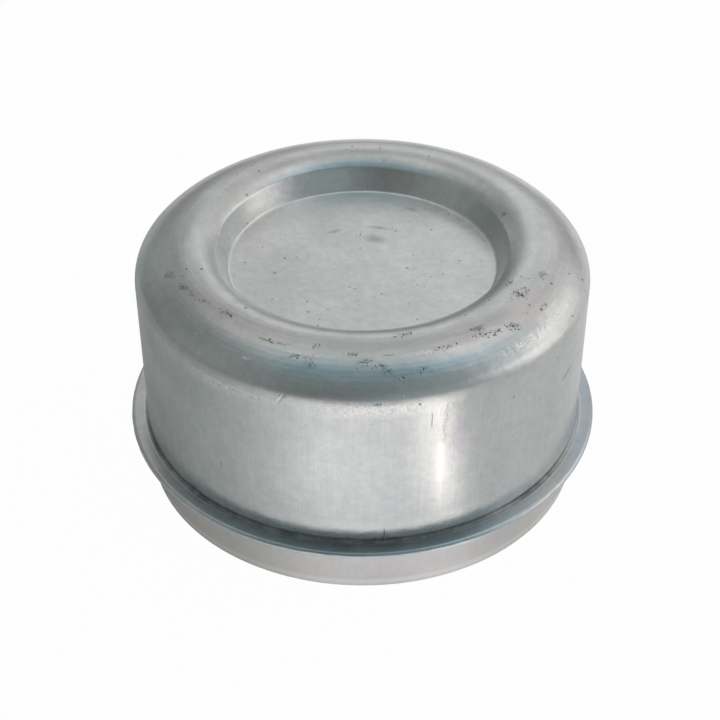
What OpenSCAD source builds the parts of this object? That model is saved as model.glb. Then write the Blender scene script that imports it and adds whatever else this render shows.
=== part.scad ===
// Hub grease cap: a deep-drawn steel cup, dished at the top, open at the rim, with a folded flange.
// One sheet of even thickness is followed bend by bend from the rim to the centre of the top,
// and that section is turned about the Z axis.
// The origin is the centre of the open rim, on the plane that the cap stands on. Sizes are in mm.

/* [Sheet] */
// Thickness of the steel sheet
sheet_t = 0.5; // [0.4:0.05:0.8]

/* [Spigot] */
// Outside diameter of the spigot, which is pressed into the hub
spigot_d = 64.2; // [50:0.1:80]
// Height of the spigot, from the rim to the underside of the flange
spigot_h = 7.6; // [5:0.1:15]
// Rounding on the outer edge of the rim, which leads the cap into its seat
rim_r = 0.35; // [0.1:0.05:0.45]

/* [Flange] */
// Width of the flange, from the wall out to its folded edge
flange_w = 2.45; // [1.8:0.05:5]
// Gap left inside the fold, between its two layers
fold_gap = 0.1; // [0.05:0.05:0.4]
// Bend radius where the flange meets the spigot and the wall
corner_r = 0.4; // [0.2:0.05:0.8]

/* [Wall] */
// Height of the cap, from the rim to the crest of the top
cap_h = 37.2; // [30:0.1:60]
// Step by which the wall stands outside the spigot
wall_step = 0.15; // [0:0.05:0.5]

/* [Dished top] */
// Width of the shoulder, from the wall in to the crest
shoulder_w = 8; // [6:0.25:12]
// Bend radius where the wall turns into the shoulder
shoulder_r = 3.2; // [1:0.1:5]
// Slope of the shoulder just above that bend, in degrees from level
shoulder_slope = 49; // [25:1:55]
// Bend radius of the lip, where the crest turns gently down towards the recess
lip_r = 5.5; // [3:0.1:8]
// Slope of the lip where it comes to the edge of the recess, in degrees from level
lip_slope = 39; // [30:1:44]
// Tight bend radius at that edge, between the lip and the recess wall
edge_r = 1; // [0.9:0.1:2]
// Depth of the recess, from the crest to its flat floor
recess_depth = 4.7; // [3:0.1:8]
// Slope of the recess wall, in degrees from level
recess_slope = 66; // [45:1:85]
// Bend radius at the foot of the recess wall
foot_r = 0.5; // [0.3:0.1:2]

/* [Hidden] */

// Straight pieces that stand for a bend stay this close to its true arc
arc_error = 0.02;
// Facets round the turned solid
round_facets = 72;
// Points closer together than this are one point
same_point = 0.001;

spigot_r = spigot_d / 2;
wall_r = spigot_r + wall_step;
flange_r = wall_r + flange_w;
crest_r = wall_r - shoulder_w;

// The fold goes round half a turn, with both layers and the gap inside it
fold_r = sheet_t + fold_gap / 2;
flange_top_z = spigot_h + 2 * fold_r;
floor_z = cap_h - recess_depth;

// The crown is the large bend that joins the shoulder bend to the level crest without a kink
crown_r = shoulder_r + (shoulder_w - shoulder_r) / sin(shoulder_slope);
shoulder_z = cap_h - crown_r + (crown_r - shoulder_r) * cos(shoulder_slope);

// The edge bend lies where it joins the lip without a kink
edge_x = crest_r - (lip_r - edge_r) * sin(lip_slope);
edge_z = cap_h - lip_r + (lip_r - edge_r) * cos(lip_slope);

// The foot bend lies where the recess wall, tangent to the edge bend, comes down to the floor
recess_bends = edge_r + foot_r;
wall_drop = edge_z + edge_r - floor_z;
foot_run = (recess_bends - cos(recess_slope) * (recess_bends - wall_drop)) / sin(recess_slope);

// A bend has a centre, the radius of its outer face, its first and last angle, and its side:
// 1 where the outer face is the long way round, -1 where it is the short way round
function bend(centre, face_r, first, last, side) = [centre, face_r, first, last, side];

// The bends in order, from the rim up the outside and in over the top
sheet_bends = [
    bend([spigot_r + corner_r, spigot_h - corner_r], corner_r, 180, 90, -1),
    bend([flange_r - fold_r, spigot_h + fold_r], fold_r, -90, 90, 1),
    bend([wall_r + corner_r, flange_top_z + corner_r], corner_r, 270, 180, -1),
    bend([wall_r - shoulder_r, shoulder_z], shoulder_r, 0, 90 - shoulder_slope, 1),
    bend([crest_r, cap_h - crown_r], crown_r, 90 - shoulder_slope, 90, 1),
    bend([crest_r, cap_h - lip_r], lip_r, 90, 90 + lip_slope, 1),
    bend([edge_x, edge_z], edge_r, 90 + lip_slope, 90 + recess_slope, 1),
    bend([edge_x - foot_run, floor_z + foot_r], foot_r, 270 + recess_slope, 270, -1),
];

// Points of an arc, with enough steps for a face of radius long_r to stay within arc_error
function arc(centre, r, first, last, long_r) =
    let (steps = ceil(abs(last - first) / (2 * acos(1 - arc_error / long_r))))
    [for (i = [0:steps])
        let (a = first + (last - first) * i / steps)
        centre + r * [cos(a), sin(a)]];

// The line that lies at a depth under the outer face, over one bend and over all of them
function bend_line(b, depth) =
    arc(b[0], b[1] - b[4] * depth, b[2], b[3], b[1] + (b[4] < 0 ? sheet_t : 0));
function sheet_line(depth) =
    [for (b = sheet_bends) each bend_line(b, depth)];

// A list of points in reverse order, and one without repeated points
function reversed(points) =
    [for (i = [len(points) - 1:-1:0]) points[i]];
function distinct(points) =
    [for (i = [0:len(points) - 1])
        if (i == 0 || norm(points[i] - points[i - 1]) > same_point) points[i]];

// Outer face from the rim's rounded edge to the axis, then the inner face back to the rim
function sheet_section() =
    distinct(concat(
        arc([spigot_r - rim_r, rim_r], rim_r, -90, 0, rim_r),
        sheet_line(0),
        [[0, floor_z], [0, floor_z - sheet_t]],
        reversed(sheet_line(sheet_t)),
        [[spigot_r - sheet_t, 0]]));

module grease_cap() {
    color("#b2b7b6")
        rotate_extrude($fn = round_facets)
            polygon(sheet_section());
}

grease_cap();
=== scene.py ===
import math
import bpy
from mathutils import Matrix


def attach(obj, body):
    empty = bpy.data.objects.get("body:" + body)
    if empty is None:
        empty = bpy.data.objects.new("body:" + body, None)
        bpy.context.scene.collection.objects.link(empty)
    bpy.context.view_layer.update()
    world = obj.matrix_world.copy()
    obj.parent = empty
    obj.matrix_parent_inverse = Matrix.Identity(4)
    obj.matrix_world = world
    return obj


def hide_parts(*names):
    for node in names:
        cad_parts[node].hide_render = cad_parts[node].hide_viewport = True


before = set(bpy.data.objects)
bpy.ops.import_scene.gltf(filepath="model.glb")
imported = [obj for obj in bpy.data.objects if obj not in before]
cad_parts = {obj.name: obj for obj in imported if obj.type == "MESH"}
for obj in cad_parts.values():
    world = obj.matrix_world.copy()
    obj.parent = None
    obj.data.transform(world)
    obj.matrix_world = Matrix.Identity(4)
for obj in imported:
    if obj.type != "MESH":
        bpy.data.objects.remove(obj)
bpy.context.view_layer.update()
mm = 0.001  # everything in the scene is in metres
print("frame loaded:", ", ".join(sorted(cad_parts)))


def hexToLinear(code):
    # sRGB hex to the linear colour that shader sockets take
    parts = [int(code[i:i + 2], 16) / 255 for i in (1, 3, 5)]
    return tuple(c / 12.92 if c <= 0.04045 else ((c + 0.055) / 1.055) ** 2.4 for c in parts) + (1.0,)


def addNode(tree, kind, inputs=None, give=0, **settings):
    # adds a node, fills or links its inputs, and hands back one of its outputs
    node = tree.nodes.new(kind)
    for name, value in settings.items():
        setattr(node, name, value)
    for socket, value in (inputs or {}).items():
        if isinstance(value, bpy.types.NodeSocket):
            tree.links.new(value, node.inputs[socket])
        else:
            node.inputs[socket].default_value = value
    return node.outputs[give] if len(node.outputs) else node


# The sheet

# sizes of the drawn sheet in mm, angles in degrees, as in the part's source
sheet = dict(
    thickness=0.5,
    spigotRadius=32.1, spigotHeight=7.6, rimRound=0.35,
    wallRadius=32.25, flangeRadius=34.7, foldGap=0.1, cornerRound=0.4,
    height=37.2, crestRadius=24.25, shoulderRound=3.2, shoulderSlope=49,
    lipRound=5.5, lipSlope=39, edgeRound=1.0, recessDepth=4.7, recessSlope=66, footRound=0.5,
    facets=400,          # round the turn
    bendStep=4.5,        # degrees of a bend between two points of the section
    smallBendStep=9.0,   # the same on a bend under 1 mm in radius
    straightStep=2.0,    # longest gap between points on a straight
    guard=0.18,          # extra point this near each end of a straight, so shading stays true
    insideStep=3.5,      # the inner face is coarser
    wave=0.045,          # how far the hand of the press left the sheet off true
    waveLength=17.0,
    edgeNick=0.07,       # depth of the small nicks along the flange's folded edge
    edgeNickLength=1.6,
)


def sheetBends(s):
    # centre, outer face radius, first and last angle, side: 1 outer face on the long way round, -1 on the short
    foldRound = s["thickness"] + s["foldGap"] / 2
    flangeTop = s["spigotHeight"] + 2 * foldRound
    floorHeight = s["height"] - s["recessDepth"]
    slope, recess = math.radians(s["shoulderSlope"]), math.radians(s["recessSlope"])
    shoulderWidth = s["wallRadius"] - s["crestRadius"]
    crownRound = s["shoulderRound"] + (shoulderWidth - s["shoulderRound"]) / math.sin(slope)
    shoulderHeight = s["height"] - crownRound + (crownRound - s["shoulderRound"]) * math.cos(slope)
    # the tight bend at the recess's edge, tangent to the lip
    lip, narrower = math.radians(s["lipSlope"]), s["lipRound"] - s["edgeRound"]
    edge = (s["crestRadius"] - narrower * math.sin(lip), s["height"] - s["lipRound"] + narrower * math.cos(lip))
    turn = s["edgeRound"] + s["footRound"]
    drop = edge[1] + s["edgeRound"] - floorHeight
    footRun = (turn - math.cos(recess) * (turn - drop)) / math.sin(recess)
    corner = s["cornerRound"]
    return floorHeight, [
        ((s["spigotRadius"] - s["rimRound"], s["rimRound"]), s["rimRound"], -90, 0, 0),
        ((s["spigotRadius"] + corner, s["spigotHeight"] - corner), corner, 180, 90, -1),
        ((s["flangeRadius"] - foldRound, s["spigotHeight"] + foldRound), foldRound, -90, 90, 1),
        ((s["wallRadius"] + corner, flangeTop + corner), corner, 270, 180, -1),
        ((s["wallRadius"] - s["shoulderRound"], shoulderHeight), s["shoulderRound"], 0, 90 - s["shoulderSlope"], 1),
        ((s["crestRadius"], s["height"] - crownRound), crownRound, 90 - s["shoulderSlope"], 90, 1),
        ((s["crestRadius"], s["height"] - s["lipRound"]), s["lipRound"], 90, 90 + s["lipSlope"], 1),
        (edge, s["edgeRound"], 90 + s["lipSlope"], 90 + s["recessSlope"], 1),
        ((edge[0] - footRun, floorHeight + s["footRound"]), s["footRound"], 270 + s["recessSlope"], 270, -1),
    ]


def faceLine(s, depth):
    # points (r, z, outward r, outward z) of the face that lies at a depth under the outer one
    floorHeight, bends = sheetBends(s)
    inside = depth > 0
    points = []
    for centre, radius, first, last, side in bends:
        if side == 0:
            if inside:  # the rim's inner edge stays square
                points.append((s["spigotRadius"] - depth, 0.0, 1.0, 0.0))
                continue
            side = 1
        step = s["smallBendStep"] if radius < 1 else s["bendStep"]
        steps = max(2, math.ceil(abs(last - first) / (step * (2.5 if inside else 1.0))))
        for i in range(steps + 1):
            a = math.radians(first + (last - first) * i / steps)
            r = radius - side * depth
            points.append((centre[0] + r * math.cos(a), centre[1] + r * math.sin(a),
                           side * math.cos(a), side * math.sin(a)))
    points.append((0.0, floorHeight - depth, 0.0, 1.0))
    longest = s["insideStep"] if inside else s["straightStep"]
    line = points[:1]
    for p in points[1:]:
        q = line[-1]
        gap = math.hypot(p[0] - q[0], p[1] - q[1])
        if gap < 0.002:
            continue
        if gap > 3 * s["guard"]:
            cuts = [s["guard"] / gap, 1 - s["guard"] / gap]
            count = math.ceil(gap / longest)
            cuts += [i / count for i in range(1, count) if s["guard"] < i / count * gap < gap - s["guard"]]
            for t in sorted(cuts):
                line.append(tuple(q[k] + (p[k] - q[k]) * t for k in range(4)))
        line.append(p)
    return line


def sheetSection(s):
    # the section as a chain of edges, with what the turning tree needs on its points
    outer, inner = faceLine(s, 0.0), faceLine(s, s["thickness"])
    chain = outer + inner[::-1]
    run, total = [], 0.0
    for k, p in enumerate(chain):
        if k:
            total += math.hypot(p[0] - chain[k - 1][0], p[1] - chain[k - 1][1])
        run.append(total)
    chain.append(chain[0])
    run.append(total + 0.5)
    mesh = bpy.data.meshes.new("sheetSection")
    mesh.from_pydata([(p[0] * mm, 0.0, p[1] * mm) for p in chain],
                     [(k, k + 1) for k in range(len(chain) - 1)], [])
    mesh.attributes.new("run", "FLOAT", "POINT").data.foreach_set("value", run)
    mesh.attributes.new("push", "FLOAT_VECTOR", "POINT").data.foreach_set(
        "vector", [c for p in chain for c in (p[2], 0.0, p[3])])
    # 1 on the outer half of the fold, where the nicks are
    foldEdge = s["flangeRadius"] - 0.3
    mesh.attributes.new("edge", "FLOAT", "POINT").data.foreach_set(
        "value", [min(1.0, max(0.0, (p[0] - foldEdge) / 0.2)) for p in chain])
    return mesh, len(chain)


def turningTree(s, material):
    # Geometry Nodes: a grid whose rows follow the section and whose columns go round the axis
    tree = bpy.data.node_groups.new("turnedSheet", "GeometryNodeTree")
    face = tree.interface
    face.new_socket("Geometry", in_out="INPUT", socket_type="NodeSocketGeometry")
    values = {}
    for name, kind, value in (
            ("Facets", "NodeSocketInt", s["facets"]),
            ("Wave", "NodeSocketFloat", s["wave"] * mm),
            ("Wave length", "NodeSocketFloat", s["waveLength"] * mm),
            ("Edge nick", "NodeSocketFloat", s["edgeNick"] * mm),
            ("Edge nick length", "NodeSocketFloat", s["edgeNickLength"] * mm),
            ("Seed", "NodeSocketFloat", 4.0),
            ("Finish", "NodeSocketMaterial", material)):
        values[face.new_socket(name, in_out="INPUT", socket_type=kind).identifier] = value
    face.new_socket("Geometry", in_out="OUTPUT", socket_type="NodeSocketGeometry")
    given = tree.nodes.new("NodeGroupInput").outputs
    section = given["Geometry"]

    count = addNode(tree, "GeometryNodeAttributeDomainSize", {0: section})
    columns = addNode(tree, "FunctionNodeIntegerMath", {0: given["Facets"], 1: 1}, operation="ADD")
    grid = addNode(tree, "GeometryNodeMeshGrid", {"Vertices X": columns, "Vertices Y": count})
    index = addNode(tree, "GeometryNodeInputIndex")
    column = addNode(tree, "FunctionNodeIntegerMath", {0: index, 1: count}, operation="DIVIDE_FLOOR")
    row = addNode(tree, "FunctionNodeIntegerMath", {0: index, 1: count}, operation="MODULO")
    around = addNode(tree, "ShaderNodeMath", {0: column, 1: given["Facets"]}, operation="DIVIDE")
    around = addNode(tree, "ShaderNodeMath", {0: around, 1: 2 * math.pi}, operation="MULTIPLY")
    aroundAxis = addNode(tree, "ShaderNodeCombineXYZ", {2: around})

    def fromSection(kind, value):
        return addNode(tree, "GeometryNodeSampleIndex", {0: section, 1: value, 2: row}, data_type=kind)

    place = fromSection("FLOAT_VECTOR", addNode(tree, "GeometryNodeInputPosition"))
    push = fromSection("FLOAT_VECTOR", addNode(tree, "GeometryNodeInputNamedAttribute",
                                               {"Name": "push"}, data_type="FLOAT_VECTOR"))
    run = fromSection("FLOAT", addNode(tree, "GeometryNodeInputNamedAttribute", {"Name": "run"}, data_type="FLOAT"))
    edge = fromSection("FLOAT", addNode(tree, "GeometryNodeInputNamedAttribute", {"Name": "edge"}, data_type="FLOAT"))
    place = addNode(tree, "ShaderNodeVectorRotate", {"Vector": place, "Rotation": aroundAxis},
                    rotation_type="EULER_XYZ")
    push = addNode(tree, "ShaderNodeVectorRotate", {"Vector": push, "Rotation": aroundAxis},
                   rotation_type="EULER_XYZ")

    # slow waves in the sheet, and short nicks along the fold, always inwards
    waves = addNode(tree, "ShaderNodeTexNoise", {
        "Vector": place, "W": given["Seed"], "Detail": 1.0,
        "Scale": addNode(tree, "ShaderNodeMath", {0: 1.0, 1: given["Wave length"]}, operation="DIVIDE"),
    }, noise_dimensions="4D")
    nicks = addNode(tree, "ShaderNodeTexNoise", {
        "Vector": place, "W": given["Seed"], "Detail": 2.0,
        "Scale": addNode(tree, "ShaderNodeMath", {0: 1.0, 1: given["Edge nick length"]}, operation="DIVIDE"),
    }, noise_dimensions="4D")
    nicks = addNode(tree, "ShaderNodeMapRange", {0: nicks, 1: 0.52, 2: 0.75}, interpolation_type="SMOOTHSTEP")
    waves = addNode(tree, "ShaderNodeMath", {0: waves, 1: given["Wave"]}, operation="MULTIPLY")
    nicks = addNode(tree, "ShaderNodeMath", {0: nicks, 1: given["Edge nick"]}, operation="MULTIPLY")
    nicks = addNode(tree, "ShaderNodeMath", {0: nicks, 1: edge}, operation="MULTIPLY")
    inward = addNode(tree, "ShaderNodeMath", {0: waves, 1: nicks}, operation="ADD")
    inward = addNode(tree, "ShaderNodeMath", {0: inward, 1: -1.0}, operation="MULTIPLY")
    shift = addNode(tree, "ShaderNodeVectorMath", {0: push, "Scale": inward}, operation="SCALE")
    place = addNode(tree, "ShaderNodeVectorMath", {0: place, 1: shift}, operation="ADD")

    body = addNode(tree, "GeometryNodeSetPosition", {"Geometry": grid, "Position": place})
    body = addNode(tree, "GeometryNodeStoreNamedAttribute",
                   {"Geometry": body, "Name": "run", "Value": run}, data_type="FLOAT", domain="POINT")
    body = addNode(tree, "GeometryNodeMergeByDistance", {"Geometry": body, "Distance": 0.001 * mm})
    # the line along the axis from the top pole to the bottom one carries no face
    faces = addNode(tree, "GeometryNodeInputMeshEdgeNeighbors")
    alone = addNode(tree, "FunctionNodeCompare", {"A": faces, "B": 0.5}, data_type="FLOAT", operation="LESS_THAN")
    body = addNode(tree, "GeometryNodeDeleteGeometry", {"Geometry": body, "Selection": alone},
                   domain="EDGE", mode="EDGE_FACE")
    body = addNode(tree, "GeometryNodeSetShadeSmooth", {"Geometry": body})
    body = addNode(tree, "GeometryNodeRealizeInstances", {"Geometry": body})
    body = addNode(tree, "GeometryNodeSetMaterial", {"Geometry": body, "Material": given["Finish"]})
    end = tree.nodes.new("NodeGroupOutput")
    tree.links.new(body, end.inputs[0])
    return tree, values


def makeCap(s, material):
    mesh, rows = sheetSection(s)
    shell = bpy.data.objects.new("pressedCap", mesh)
    bpy.context.scene.collection.objects.link(shell)
    tree, values = turningTree(s, material)
    turn = shell.modifiers.new("turn", "NODES")
    turn.node_group = tree
    for identifier, value in values.items():
        turn[identifier] = value
    graph = bpy.context.evaluated_depsgraph_get()
    plain = bpy.data.meshes.new_from_object(shell.evaluated_get(graph))
    shell.modifiers.clear()
    shell.data = plain
    plain.name = "pressedCap"
    plain.materials.clear()  # the section brought an empty slot along
    plain.materials.append(material)
    triangles = sum(len(p.vertices) - 2 for p in plain.polygons)
    print(f"cap turned: {rows} rows, {len(plain.vertices)} points, {triangles} triangles")
    return shell


# Zinc plate

zinc = dict(
    clean="#eceded",         # the plated face where it is best
    dull="#c3c8c6",          # where the passivation lies thicker
    roughness=0.30,
    ironed=0.09,             # by this much the die left the wall smoother
    streakWidth=0.30,        # mm across a drawing streak, coarser than the real 0.05 mm so that it shows
    streakLength=9.0,
    turnWidth=0.34,          # mm between the marks that the press tool left round the crown
    turnLength=16.0,
    stainWidth=1.6,          # mm across the faint stains that run round the crown, and along them
    stainLength=13.0,
    grain=0.32,              # mm, the plating's crystal grain, drawn about ten times too coarse so that it shows
    mottle=8.0,              # mm, patches of thicker and thinner bloom
    film=6.5,                # mm, patches where the passivation film shines pink or teal
    # pits in three sizes: mm between places, size as a share of that, how many places have one, how many in a cluster
    pits=[(1.25, 0.16, 0.045, 0.25), (0.62, 0.27, 0.010, 0.60), (0.34, 0.36, 0.0, 0.95)],
    pitShift=(2.2, 0.32),    # places of the pits are shifted out of line: waves in a mm, and mm
    smudge=1.1,              # mm, the grey breath of corrosion round the pits
    sparklePatch=0.9,          # mm, patches that the painted highlights are broken into
    sparkle=0.30,            # mm between the small facets of the painted highlights, where glints are painted and a bump breaks them up
    wobble=3.2,              # mm between the shallow hollows that pressing left
    blotch=1.3,              # mm, small lighter and duller blotches in the plate
    dirtAndShade=1.8,                # mm, lumps that break up the painted shade and the dirt in the corner over the flange
    creaseIn=0.15,           # mm from the corner's bend out to the fine painted highlight along the crease
    rimHighlight=(0.8, 1.6),      # mm from the rim, a band painted brighter as a highlight along the lower edge
)

# marks on the sheet, both what wear and handling left and where light and shade are painted: angle from the front in
# degrees, mm along the sheet from the rim,
# half length along and half width across in mm, and how far it is turned from lying round the cap, in degrees
pitClusters = [
    (0.8, 42.6, 1.5, 0.9, 0), (5.0, 41.7, 2.1, 1.0, -30), (-18.0, 42.6, 1.2, 0.5, 20), (-2.4, 43.9, 0.9, 0.5, 0),
    (-13.6, 41.8, 1.1, 0.6, -40), (-13.2, 44.8, 0.8, 0.5, 0), (12.0, 46.9, 1.9, 0.4, 10), (9.0, 40.4, 0.8, 0.5, 0),
    (15.0, 40.9, 1.0, 0.7, 0), (36.0, 43.2, 3.2, 0.8, -12), (44.0, 42.4, 1.6, 0.9, -30), (34.0, 44.6, 1.6, 0.5, 0),
    (56.0, 45.6, 2.4, 1.3, 0), (60.0, 48.0, 1.4, 0.7, 0), (57.0, 42.0, 1.2, 0.6, 0), (68.5, 44.6, 1.5, 0.8, 25),
    (-71.0, 43.2, 1.6, 0.9, 20), (-62.0, 43.8, 2.6, 1.0, 12), (-54.0, 44.6, 1.8, 0.6, 10),
    (-45.0, 45.2, 2.6, 0.35, 4), (-18.2, 37.2, 0.5, 0.4, -25), (3.2, 37.0, 0.5, 0.45, 0), (22.0, 43.4, 3.4, 0.5, 0),
    (-24.0, 44.0, 3.4, 0.35, 6),
]
# painted highlights and sparkle, not scuffs: the bright line along the wall's top, the bright streak and patches on
# the crown, and the narrow upright highlight on the wall
sparkleHighlights = [
    (2.0, 36.3, 14.0, 1.1, 0), (-34.0, 36.0, 11.0, 0.5, 0), (20.0, 43.3, 6.0, 0.6, -2), (38.0, 42.9, 4.2, 1.4, -14),
    (50.0, 39.9, 12.5, 1.0, 0), (-14.0, 43.1, 4.0, 0.5, 2), (18.6, 32.0, 0.8, 5.0, 0), (-30.0, 40.5, 0.9, 0.3, 0),
]
# where the painted shade in the corner over the flange and on the flange's top is stronger, more at the front and
# left, along with dirt
shadeAndDirtPlaces = [
    (-22.0, 12.9, 34.0, 2.2, 0), (16.0, 12.9, 20.0, 2.0, 0), (-64.0, 14.0, 13.0, 2.2, 0), (50.0, 13.8, 13.0, 1.8, 0),
]
# painted light, not wear: the recess's front lip, the floor's back edge, the wall's foot at the front, the highlight
# on the recess's left-back wall, bright highlight lines along the flange's folded edge and the narrow upright
# highlight on the wall
paintedBrightPatches = [
    (-3.0, 49.7, 26.0, 1.2, 0), (180.0, 56.4, 17.0, 2.6, 0), (0.0, 15.2, 26.0, 1.3, 0), (-127.0, 52.4, 6.0, 2.6, 0),
    (24.0, 10.45, 10.0, 0.16, 0), (62.0, 10.4, 11.0, 0.5, 0), (18.5, 27.0, 1.1, 12.0, 0),
]
# painted shade: the wall and shoulder on the left side darkened to a warm grey, where they mirror the shadowed floor
leftSideShade = [(-67.0, 33.0, 19.0, 8.0, 0), (-70.0, 24.0, 17.0, 14.0, 0), (-54.0, 37.4, 18.0, 1.4, 0)]
# on the floor of the dish the length is what it would be out at the wall, so that it narrows towards the axis
smudges = [
    (163.5, 67.1, 13.0, 1.6, 0), (166.0, 64.0, 9.0, 0.7, 0), (-153.0, 64.3, 6.0, 0.5, 0), (152.7, 57.5, 4.0, 0.8, 0),
]
floorSpecks = [
    (-16.8, 67.0, 2.4, 0.24, 0), (-8.8, 66.8, 2.4, 0.16, 0), (18.9, 65.2, 0.9, 0.22, 0), (77.8, 66.9, 1.8, 0.30, 0),
    (69.7, 63.1, 0.7, 0.20, 0), (-80.1, 66.8, 1.0, 0.20, 0), (-95.4, 62.2, 1.0, 0.32, 0), (-78.1, 60.7, 1.0, 0.36, 0),
    (32.6, 61.4, 0.7, 0.24, 0), (-31.6, 59.3, 0.9, 0.18, 0), (-22.2, 61.0, 1.5, 0.22, 0), (103.6, 65.9, 1.0, 0.20, 0),
]
# partly the passivation's own teal tint and partly a painted reflection: a teal band across the crown's front and
# along the back lip, where those bends mirror teal
tealTintAndReflection = [
    (12.0, 41.1, 9.5, 1.3, 0), (-12.0, 41.3, 8.0, 1.3, 2), (24.0, 41.2, 4.5, 1.0, 0), (180.0, 50.1, 20.0, 0.45, 0),
]
violetBlooms = [
    (15.0, 42.7, 5.4, 0.45, 2), (30.0, 43.4, 3.0, 0.6, 0), (-24.0, 42.8, 4.0, 0.6, 3),
    (39.0, 35.4, 7.0, 0.9, -4), (23.0, 30.0, 1.4, 7.0, 0),
]
# painted reflection: the flange's top tinted blue where it mirrors the blue above
flangeBlueReflection = [(5.0, 11.9, 44.0, 2.2, 0), (80.0, 11.9, 26.0, 2.2, 0)]
scratches = [
    (-36.3, 21.8, 0.75, 0.11, 88), (-18.6, 36.8, 1.2, 0.08, 62), (60.5, 29.5, 2.0, 0.30, 14),
    (16.0, 33.6, 1.6, 0.09, 90), (5.2, 14.6, 1.1, 0.12, 90), (46.5, 14.6, 0.9, 0.10, 62), (-28.0, 43.9, 1.5, 0.12, 0),
    (7.0, 43.6, 1.3, 0.08, 0), (-12.6, 42.0, 1.0, 0.07, -48), (13.6, 46.8, 1.0, 0.08, 8),
]
nicks = [
    (-42.9, 38.5, 0.45, 0.10, 80), (-27.9, 38.6, 0.30, 0.10, 90), (-31.2, 36.2, 0.28, 0.14, 60),
    (-29.3, 36.6, 0.30, 0.10, 90), (-30.4, 40.5, 0.75, 0.10, 0), (-46.7, 40.5, 0.22, 0.14, 0),
    (-36.5, 43.6, 0.22, 0.14, 0), (9.4, 38.0, 0.28, 0.10, 90), (15.8, 34.0, 0.9, 0.07, 90),
    (-19.5, 36.6, 1.1, 0.10, 60),
]
# dark spots: those at the wall's foot over the flange deepen the painted shade there, the one on the lip is a dark
# mark
shadeAndGrimeSpots = [
    (-46.0, 13.9, 2.6, 0.55, 4), (5.5, 13.8, 3.4, 0.8, 0), (-4.0, 13.9, 2.5, 0.45, 0), (108.0, 49.7, 0.7, 0.5, 0),
]


def runMarks(s):
    # how far along the sheet, in mm from the rim, each bend starts and ends
    marks, total, last = [], 0.0, None
    for centre, radius, first, end, side in sheetBends(s)[1]:
        ends = [(centre[0] + radius * math.cos(math.radians(a)), centre[1] + radius * math.sin(math.radians(a)))
                for a in (first, end)]
        if last:
            total += math.dist(last, ends[0])
        start = total
        total += math.radians(abs(end - first)) * radius
        marks.append((start, total))
        last = ends[1]
    return dict(zip(("rim", "seat", "fold", "corner", "shoulder", "crown", "lip", "edge", "foot"), marks))


def band(tree, value, low, high, soft):
    # 1 between low and high, and soft at both ends
    up = addNode(tree, "ShaderNodeMapRange", {0: value, 1: low - soft, 2: low + soft},
                 interpolation_type="SMOOTHSTEP")
    down = addNode(tree, "ShaderNodeMapRange", {0: value, 1: high - soft, 2: high + soft, 3: 1.0, 4: 0.0},
                   interpolation_type="SMOOTHSTEP")
    return addNode(tree, "ShaderNodeMath", {0: up, 1: down}, operation="MULTIPLY")


def paintPlaces(mesh, s, name, places):
    # stores 1 at the middle of each place and 0 past its edge on the sheet's outer face, for the finish to read
    outerEnd = runMarks(s)["foot"][1] + s["wallRadius"]
    runs = [0.0] * len(mesh.vertices)
    mesh.attributes["run"].data.foreach_get("value", runs)
    values = [0.0] * len(runs)
    for angle, run, along, across, turn in places:
        middle, lean = math.radians(angle), math.radians(turn)
        reach = max(along, across)
        for i, v in enumerate(mesh.vertices):
            rise = runs[i] - run
            if abs(rise) > reach or runs[i] > outerEnd:
                continue
            off = math.atan2(v.co.x, -v.co.y) - middle
            off = (off + math.pi) % (2 * math.pi) - math.pi
            side = off * math.hypot(v.co.x, v.co.y) / mm
            if abs(side) > reach:
                continue
            away = math.hypot((side * math.cos(lean) + rise * math.sin(lean)) / along,
                              (rise * math.cos(lean) - side * math.sin(lean)) / across)
            if away < 1:
                values[i] = max(values[i], 1 - away * away * (3 - 2 * away))
    mesh.attributes.new(name, "FLOAT", "POINT").data.foreach_set("value", values)


def patches(tree, onSheet, s, places, hard=0.0, depth=14.0):
    # the same for marks finer than the mesh, as nodes; each is deep enough in mm to follow the sheet round
    joined = None
    for angle, run, along, across, turn in places:
        a = math.radians(angle)
        near = addNode(tree, "ShaderNodeMapping", {
            "Vector": onSheet, "Location": (s["wallRadius"] * math.sin(a), -s["wallRadius"] * math.cos(a), run),
            "Rotation": (0.0, -math.radians(turn), a), "Scale": (along, depth, across)}, vector_type="TEXTURE")
        away = addNode(tree, "ShaderNodeVectorMath", {0: near}, give="Value", operation="LENGTH")
        mask = addNode(tree, "ShaderNodeMapRange", {0: away, 1: hard, 2: 1.0, 3: 1.0, 4: 0.0},
                       interpolation_type="SMOOTHSTEP")
        joined = mask if joined is None else addNode(
            tree, "ShaderNodeMath", {0: joined, 1: mask}, operation="MAXIMUM")
    return joined


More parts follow.
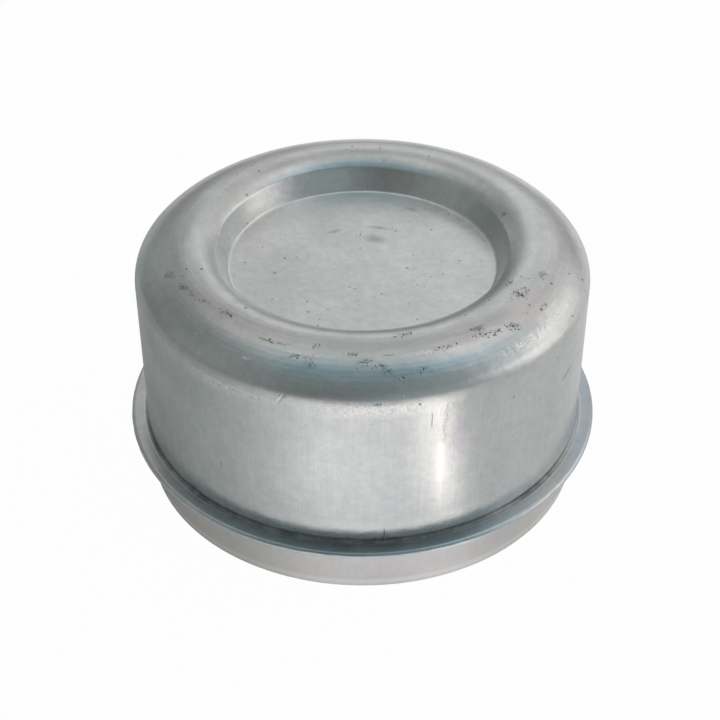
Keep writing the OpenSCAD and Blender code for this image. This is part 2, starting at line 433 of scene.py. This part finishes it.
def zincPlate(s, z):
    # mild steel, deep drawn from sheet, zinc plated in a barrel and blue-clear passivated:
    # a satin grey metal, drawing streaks up the wall, turning marks round the crown, faint teal bloom, dark pits
    material = bpy.data.materials.new("zincPlatedDrawnSteel")
    material.use_nodes = True
    tree = material.node_tree
    tree.nodes.clear()
    marks = runMarks(s)

    # coordinates that follow the sheet, in mm: x and y go round the cap, z runs along the section
    here = addNode(tree, "ShaderNodeTexCoord", give="Object")
    hereMm = addNode(tree, "ShaderNodeVectorMath", {0: here, "Scale": 1 / mm}, operation="SCALE")
    level = addNode(tree, "ShaderNodeVectorMath", {0: here, 1: (1, 1, 0)}, operation="MULTIPLY")
    around = addNode(tree, "ShaderNodeVectorMath", {0: level}, operation="NORMALIZE")
    around = addNode(tree, "ShaderNodeVectorMath", {0: around, "Scale": s["wallRadius"]}, operation="SCALE")
    run = addNode(tree, "ShaderNodeAttribute", give="Fac", attribute_name="run")
    onSheet = addNode(tree, "ShaderNodeVectorMath",
                      {0: around, 1: addNode(tree, "ShaderNodeCombineXYZ", {2: run})}, operation="ADD")

    def noise(place, size, detail, roughness):
        return addNode(tree, "ShaderNodeTexNoise", {
            "Vector": place, "Scale": 1 / size, "Detail": detail, "Roughness": roughness})

    def along(length, width):
        # the sheet's coordinates drawn out round the cap, so that a pattern is longer than it is wide
        return addNode(tree, "ShaderNodeVectorMath", {0: onSheet, 1: (1 / length, 1 / length, 1 / width)},
                       operation="MULTIPLY")

    def painted(name):
        return addNode(tree, "ShaderNodeAttribute", give="Fac", attribute_name=name)

    def part(value, low, high, least=0.0, most=1.0):
        return addNode(tree, "ShaderNodeMapRange", {0: value, 1: low, 2: high, 3: least, 4: most})

    def times(first, second):
        return addNode(tree, "ShaderNodeMath", {0: first, 1: second}, operation="MULTIPLY")

    # drawing streaks, turning marks, stains, grain, mottling and the passivation's film
    drawn = addNode(tree, "ShaderNodeMath", {
        0: band(tree, run, marks["corner"][1], marks["crown"][0] + 1.5, 1.2),
        1: band(tree, run, marks["rim"][1], marks["seat"][0], 0.3)}, operation="MAXIMUM")
    ringed = band(tree, run, marks["crown"][0] + 1.5, marks["lip"][1], 1.5)
    streak = times(part(noise(along(z["streakWidth"], z["streakLength"]), 1.0, 3.0, 0.6), 0.3, 0.7), drawn)
    turned = times(part(noise(along(z["turnLength"], z["turnWidth"]), 1.0, 3.0, 0.65), 0.3, 0.7), ringed)
    stain = times(part(noise(along(z["stainLength"], z["stainWidth"]), 1.0, 2.0, 0.5), 0.38, 0.66), ringed)
    grain = noise(hereMm, z["grain"], 2.0, 0.6)
    mottle = part(noise(hereMm, z["mottle"], 3.0, 0.5), 0.35, 0.68)
    film = noise(hereMm, z["film"], 2.0, 0.5)
    top = band(tree, run, marks["shoulder"][0] - 3, 120.0, 3.0)
    filmed = band(tree, run, marks["shoulder"][0] - 3, marks["lip"][0], 2.5)
    blotch = part(noise(hereMm, z["blotch"], 3.0, 0.6), 0.36, 0.64)
    wobble = noise(hereMm, z["wobble"], 2.0, 0.5)
    pinkFilm = times(part(film, 0.52, 0.68), filmed)
    tealFilm = times(part(film, 0.48, 0.32), filmed)

    # pits: a few everywhere on the top, many in the clusters, with a grey smudge round them
    waves, shift = z["pitShift"]
    bent = addNode(tree, "ShaderNodeTexNoise", {"Vector": onSheet, "Scale": waves, "Detail": 1.0}, give="Color")
    bent = addNode(tree, "ShaderNodeVectorMath", {0: bent, 1: (shift, shift, shift), 2: onSheet},
                   operation="MULTIPLY_ADD")
    clustered = part(painted("pitted"), 0.0, 0.65)
    pits = 0.0
    for gap, size, chance, share in z["pits"]:
        cells = addNode(tree, "ShaderNodeTexVoronoi", {"Vector": bent, "Scale": 1 / gap, "Randomness": 1.0},
                        give="Distance")
        random = addNode(tree, "ShaderNodeSeparateColor", {0: cells.node.outputs["Color"]})
        chanceHere = addNode(tree, "ShaderNodeMath", {0: clustered, 1: share, 2: chance}, operation="MULTIPLY_ADD")
        there = addNode(tree, "ShaderNodeMath", {0: random, 1: chanceHere}, operation="LESS_THAN")
        wide = part(random.node.outputs[1], 0.0, 1.0, 0.45 * size, 1.35 * size)
        hole = addNode(tree, "ShaderNodeMath", {0: cells, 1: wide}, operation="DIVIDE")
        hole = times(part(hole, 0.45, 1.1, 1.0, 0.0), there)
        pits = addNode(tree, "ShaderNodeMath", {0: pits, 1: hole}, operation="MAXIMUM")
    pits = times(pits, top)
    smudge = times(part(noise(onSheet, z["smudge"], 3.0, 0.65), 0.42, 0.62), clustered)

    # painted highlights: the colour is lightened where the metal mirrors bright light and broken into small facets
    # that also get a real bump, with painted glints on them and dark specks between them
    facets = noise(onSheet, z["sparkle"], 2.0, 0.7)
    sparkleHighlight = times(painted("sparkleHighlight"), part(noise(onSheet, z["sparklePatch"], 2.0, 0.6), 0.32, 0.55))
    paintedGlint = times(sparkleHighlight, part(facets, 0.50, 0.57))
    speck = times(sparkleHighlight, part(facets, 0.38, 0.32))

    scratched = patches(tree, onSheet, s, scratches, 0.5)
    nicked = patches(tree, onSheet, s, nicks, 0.5)
    broken = part(grain, 0.35, 0.6, 0.25, 1.0)
    # the corner over the flange is darkened with painted shade, broken into lumps by a dirt noise;
    # the flange's top and folded edge get a dark blue-grey of painted shade and reflection;
    # and a fine painted highlight runs round between them along the crease
    creaseRun = marks["corner"][0] - z["creaseIn"]
    # painted highlight: a fine bright line round the flange's top
    creaseHighlight = band(tree, run, creaseRun - 0.03, creaseRun + 0.03, 0.07)
    dirtAndShade, shadeAndDirtAmount = noise(onSheet, z["dirtAndShade"], 3.0, 0.6), painted("shadeAndDirtAmount")
    cornerShadeAndDirt = band(tree, run, marks["corner"][0] - 0.02, marks["corner"][1] + 0.3, 0.15)
    cornerShadeAndDirt = times(times(cornerShadeAndDirt, part(dirtAndShade, 0.3, 0.6, 0.72, 1.0)), part(shadeAndDirtAmount, 0.0, 0.6, 0.4, 1.0))
    flangeTopShade = band(tree, run, marks["fold"][1] - 0.88, marks["corner"][0] - 0.1, 0.15)
    flangeTopShade = times(times(flangeTopShade, part(dirtAndShade, 0.3, 0.7, 0.75, 1.0)), part(shadeAndDirtAmount, 0.0, 0.6, 0.2, 1.0))
    # painted shade on the left side, broken up by the mottling
    leftShade = times(painted("leftShade"), part(mottle, 0.0, 1.0, 0.7, 1.0))
    skirt = band(tree, run, marks["rim"][1], marks["seat"][0], 0.3)
    # painted highlight: a bright band just above the rim
    rimHighlight = band(tree, run, *z["rimHighlight"], 0.25)
    # dark spots, partly painted shade at the wall's foot, broken up by the grain
    shadeAndGrime = times(painted("shadeAndGrime"), broken)
    specked = times(patches(tree, onSheet, s, floorSpecks, 0.2), broken)
    grainTone = part(grain, 0.3, 0.7)

    # besides the plate's own tones and marks, several of these colours are painted light and shade: the darker left
    # side, the teal band in part, the blue on the flange's top, the bright band by the rim, the dark corner and flange
    # top, the bright patches, lines and sparkles, and the glints
    colour = hexToLinear(z["clean"])
    for mask, code, amount in (
            (mottle, z["dull"], 0.20), (blotch, "#bcc1bf", 0.26), (streak, "#bcc0bd", 0.20), (turned, "#bcc1bf", 0.20),
            (stain, "#b2b8b6", 0.30), (grainTone, "#c0c5c3", 0.16), (pinkFilm, "#e6d8dc", 0.14),
            (tealFilm, "#c3d5d6", 0.28), (leftShade, "#a9a096", 0.66), (painted("tealTintReflection"), "#8fc0cc", 0.34),
            (painted("violet"), "#d3c5d6", 0.40), (painted("blueReflection"), "#93b4c6", 0.50), (skirt, "#f1e8e4", 0.45),
            (patches(tree, onSheet, s, smudges), "#8b8b98", 0.50), (rimHighlight, "#fffcfa", 0.60),
            (flangeTopShade, "#5f7f88", 0.52), (cornerShadeAndDirt, "#403c3a", 0.72), (painted("paintedBrightPatches"), "#fdfcf9", 0.70),
            (creaseHighlight, "#f4fbff", 1.0), (smudge, "#76898a", 0.62), (shadeAndGrime, "#2e3232", 0.8), (specked, "#4d5654", 0.75),
            (scratched, "#6e7270", 0.6), (sparkleHighlight, "#faf8f4", 0.85), (speck, "#5c6260", 0.55), (paintedGlint, "#fffdf8", 1.0),
            (nicked, "#fffdf8", 0.9), (pits, "#2b3433", 0.85)):
        colour = addNode(tree, "ShaderNodeMix", {0: times(mask, amount), 6: colour, 7: hexToLinear(code)},
                         give=2, data_type="RGBA")

    # gloss, and a height in mm for the bump
    rough = addNode(tree, "ShaderNodeMath", {
        0: band(tree, run, marks["corner"][1] + 0.6, marks["shoulder"][0], 1.0), 1: -z["ironed"], 2: z["roughness"]},
        operation="MULTIPLY_ADD")
    for mask, amount in (
            (mottle, 0.05), (streak, 0.04), (sparkleHighlight, 0.05), (pits, 0.35), (shadeAndGrime, 0.3), (cornerShadeAndDirt, 0.25)):
        rough = addNode(tree, "ShaderNodeMath", {0: mask, 1: amount, 2: rough}, operation="MULTIPLY_ADD")
    height = 0.0
    for mask, amount in (
            (wobble, 0.075), (blotch, 0.004), (streak, 0.0022), (turned, 0.0024), (grainTone, 0.0020),
            (pits, -0.05), (scratched, -0.012), (times(sparkleHighlight, facets), 0.12), (nicked, 0.012)):
        height = addNode(tree, "ShaderNodeMath", {0: mask, 1: amount * mm, 2: height}, operation="MULTIPLY_ADD")
    bump = addNode(tree, "ShaderNodeBump", {"Strength": 1.0, "Distance": 1.0, "Height": height})

    finish = addNode(tree, "ShaderNodeBsdfPrincipled", {
        "Base Color": colour, "Metallic": 1.0, "Roughness": rough, "Normal": bump})
    end = tree.nodes.new("ShaderNodeOutputMaterial")
    tree.links.new(finish, end.inputs["Surface"])
    return material


# Floor, light and camera

# azimuths go clockwise seen from above: 0 behind the cap, 90 on its right, 180 at the camera
studio = dict(
    floorRadius=3.0,
    floorWhite="#f2f2f2",
    cameraWhite=0.98,    # share of plain white that the camera sees in the floor, the rest is lit, with the shadow
    mirroredWhite=0.04,  # share of it that the metal mirrors; in the photo it mirrors a room more than the card
    poolSoft=(0.008, 0.02),  # metres over which a pool fades at its near and far edge
    # soft cards round the cap: azimuth, elevation, sharpness, colour, strength
    cards=[
        (88, 6, 28.0, "#fff6ec", 0.74),
        (254, 84, 9.8, "#c6f2ff", 0.33),
        (101, 18, 24.0, "#fffeff", 1.20),
        (257, 20, 3.1, "#f6fffa", 0.27),
        (358, 26, 24.0, "#fefffa", 0.40),
        (151, 20, 7.3, "#ebfeff", 0.31),
        (88, 60, 19.9, "#d1f1ff", 0.73),
        (326, 66, 24.0, "#fff4ee", 0.62),
        (63, 20, 24.0, "#fffefb", 1.26),
        (60, 60, 24.0, "#ffdcc8", 0.65),
        (323, 18, 24.0, "#fafffb", 0.33),
        (20, 30, 10.9, "#fdfbff", 0.67),
    ],
    # pools of light that the cap mirrors in the floor: azimuth, sharpness, from and to in metres, colour, strength
    pools=[
        (151.5, 320.0, 0.0475, 9, "#fff8f2", 0.44),
        (140, 8.0, 0, 0.0455, "#fff6f2", 0.08),
        (90, 26.0, 0.22, 9, "#fff6ec", 0.85),
        (186, 16.1, 0, 9, "#fffcff", 0.32),
        (152, 98.9, 0.0475, 9, "#fff1e8", 0.42),
        (77, 4.0, 0, 9, "#fff5ee", 0.19),
        (197, 8.0, 0.0475, 9, "#fff7f1", 0.25),
        (158, 24.0, 0, 9, "#fffbfe", 0.28),
        (219, 9.8, 0, 0.0475, "#fff4ea", 0.13),
        (2, 10.8, 0.0475, 9, "#fff2ec", 0.56),
        (122, 20.0, 0, 0.09, "#fff9f7", 0.10),
        (34, 9.8, 0, 9, "#fffffe", 0.25),
    ],
)


def towards(azimuth, elevation):
    a, e = math.radians(azimuth), math.radians(elevation)
    return (math.sin(a) * math.cos(e), math.cos(a) * math.cos(e), math.sin(e))


def glow(tree, direction, middle, sharpness, code, strength):
    # a soft round glow about one direction, as a colour
    near = addNode(tree, "ShaderNodeVectorMath", {0: direction, 1: middle}, give="Value", operation="DOT_PRODUCT")
    near = addNode(tree, "ShaderNodeMath", {0: near, 1: sharpness, 2: -sharpness}, operation="MULTIPLY_ADD")
    near = addNode(tree, "ShaderNodeMath", {0: near}, operation="EXPONENT")
    tone = tuple(c * strength for c in hexToLinear(code)[:3])
    return addNode(tree, "ShaderNodeVectorMath", {0: tone, "Scale": near}, operation="SCALE")


def whiteShare(tree, ray, seen, mirrored):
    # how much of the white background a ray meets: the camera nearly all, metal and glass a share
    share = addNode(tree, "ShaderNodeMath", {0: ray["Is Glossy Ray"], 1: ray["Is Transmission Ray"]},
                    operation="MAXIMUM")
    share = addNode(tree, "ShaderNodeMath", {0: share, 1: mirrored}, operation="MULTIPLY")
    return addNode(tree, "ShaderNodeMath", {0: ray["Is Camera Ray"], 1: seen, 2: share}, operation="MULTIPLY_ADD")


def makeFloor(s):
    bpy.ops.mesh.primitive_circle_add(vertices=96, radius=s["floorRadius"], fill_type="NGON")
    floor = bpy.context.object
    floor.name = "floor"
    material = bpy.data.materials.new("whiteCard")
    material.use_nodes = True
    tree = material.node_tree
    tree.nodes.clear()
    ray = tree.nodes.new("ShaderNodeLightPath").outputs
    here = addNode(tree, "ShaderNodeTexCoord", give="Object")
    away = addNode(tree, "ShaderNodeVectorMath", {0: here}, give="Value", operation="LENGTH")
    direction = addNode(tree, "ShaderNodeVectorMath", {0: here}, operation="NORMALIZE")
    light = (0.0, 0.0, 0.0)
    near, far = s["poolSoft"]
    for azimuth, sharpness, start, stop, code, strength in s["pools"]:
        pool = glow(tree, direction, towards(azimuth, 0), sharpness, code, strength)
        inner = addNode(tree, "ShaderNodeMapRange", {0: away, 1: start - near, 2: start + near})
        outer = addNode(tree, "ShaderNodeMapRange", {0: away, 1: stop - far, 2: stop + far, 3: 1.0, 4: 0.0})
        share = addNode(tree, "ShaderNodeMath", {0: inner, 1: outer}, operation="MULTIPLY")
        pool = addNode(tree, "ShaderNodeVectorMath", {0: pool, "Scale": share}, operation="SCALE")
        light = addNode(tree, "ShaderNodeVectorMath", {0: pool, 1: light}, operation="ADD")
    lit = addNode(tree, "ShaderNodeBsdfDiffuse", {"Color": hexToLinear(s["floorWhite"])})
    pools = addNode(tree, "ShaderNodeEmission", {"Color": light, "Strength": addNode(
        tree, "ShaderNodeMath", {0: ray["Is Glossy Ray"], 1: ray["Is Transmission Ray"]}, operation="MAXIMUM")})
    lit = addNode(tree, "ShaderNodeAddShader", {0: lit, 1: pools})
    white = addNode(tree, "ShaderNodeEmission", {"Color": (1, 1, 1, 1), "Strength": 1.0})
    share = whiteShare(tree, ray, s["cameraWhite"], s["mirroredWhite"])
    mix = addNode(tree, "ShaderNodeMixShader", {0: share, 1: lit, 2: white})
    end = tree.nodes.new("ShaderNodeOutputMaterial")
    tree.links.new(mix, end.inputs["Surface"])
    floor.data.materials.append(material)


def makeRoom(s):
    world = bpy.data.worlds.new("room")
    bpy.context.scene.world = world
    world.use_nodes = True
    tree = world.node_tree
    tree.nodes.clear()
    ray = tree.nodes.new("ShaderNodeLightPath").outputs
    direction = addNode(tree, "ShaderNodeTexCoord", give="Generated")
    light = (0.0, 0.0, 0.0)
    for azimuth, elevation, sharpness, code, strength in s["cards"]:
        card = glow(tree, direction, towards(azimuth, elevation), sharpness, code, strength)
        light = addNode(tree, "ShaderNodeVectorMath", {0: card, 1: light}, operation="ADD")
    room = addNode(tree, "ShaderNodeBackground", {"Color": light, "Strength": 1.0})
    white = addNode(tree, "ShaderNodeBackground", {"Color": (1, 1, 1, 1), "Strength": 1.0})
    share = whiteShare(tree, ray, 1.0, s["mirroredWhite"])
    mix = addNode(tree, "ShaderNodeMixShader", {0: share, 1: room, 2: white})
    end = tree.nodes.new("ShaderNodeOutputWorld")
    tree.links.new(mix, end.inputs["Surface"])


photoCamera = dict(
    place=(-0.00035, -0.18679, 0.15955),
    downward=37.75,      # degrees below level
    lens=79.285,
)


def makeCamera(s):
    data = bpy.data.cameras.new("photoCamera")
    camera = bpy.data.objects.new("photoCamera", data)
    bpy.context.scene.collection.objects.link(camera)
    camera.location = s["place"]
    camera.rotation_euler = (math.radians(90 - s["downward"]), 0, 0)
    data.lens = s["lens"]
    data.sensor_width = 36
    data.clip_start, data.clip_end = 0.01, 50
    bpy.context.scene.camera = camera


cap = makeCap(sheet, zincPlate(sheet, zinc))
for name, places in (("pitted", pitClusters), ("sparkleHighlight", sparkleHighlights), ("tealTintReflection", tealTintAndReflection), ("violet", violetBlooms),
                     ("blueReflection", flangeBlueReflection), ("shadeAndDirtAmount", shadeAndDirtPlaces), ("paintedBrightPatches", paintedBrightPatches), ("leftShade", leftSideShade),
                     ("shadeAndGrime", shadeAndGrimeSpots)):
    paintPlaces(cap.data, sheet, name, places)
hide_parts("grease_cap")
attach(cap, "root")
print("cap finished")

makeFloor(studio)
makeRoom(studio)
makeCamera(photoCamera)
bpy.context.scene.view_settings.view_transform = "Standard"
print("studio ready")
